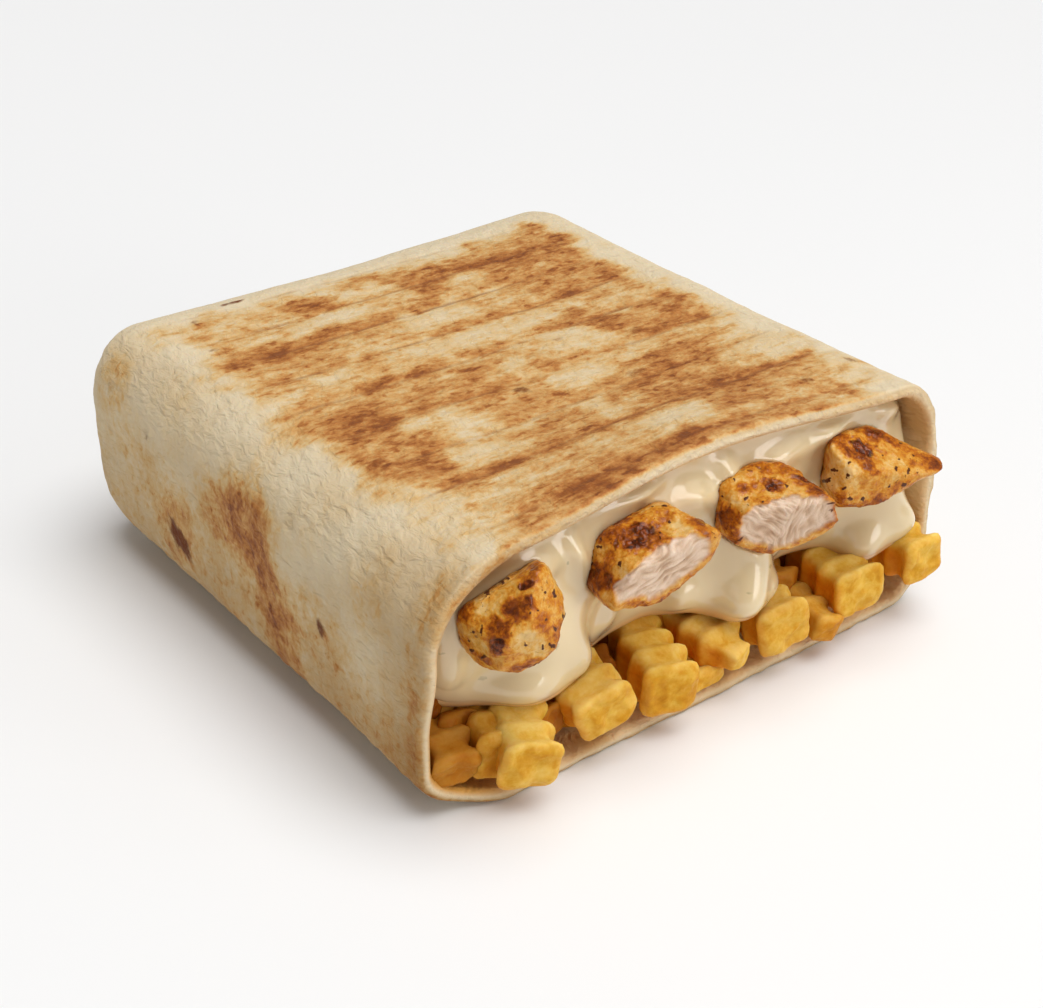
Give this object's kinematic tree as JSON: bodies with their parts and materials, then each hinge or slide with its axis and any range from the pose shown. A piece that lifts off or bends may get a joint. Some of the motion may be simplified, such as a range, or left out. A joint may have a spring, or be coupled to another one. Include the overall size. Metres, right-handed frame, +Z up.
{
  "type": "french tacos",
  "caption": "Pressed and toasted tortilla parcel with one open end, filled with crinkle-cut fries, pale sauce and grilled chicken pieces.",
  "frame": {"origin": "on the underside, midway between the parcel's sides and between its mouth and its back", "axes": "+Z up; the open mouth faces -Y and the closed back +Y; +X is to the right seen from the mouth"},
  "size_m": [0.13, 0.1478, 0.057],
  "materials": {
    "tortilla": "soft toasted wheat, matt",
    "sauce": "smooth and wet",
    "fries": "crisp, slightly oily",
    "chicken": "grilled, slightly moist"
  },
  "bodies": {
    "root": {"tortilla": "tortilla", "sauce": "sauce", "fries": "fries", "chicken_1": "chicken", "chicken_2": "chicken", "chicken_3": "chicken", "chicken_4": "chicken"}
  },
  "joints": []
}
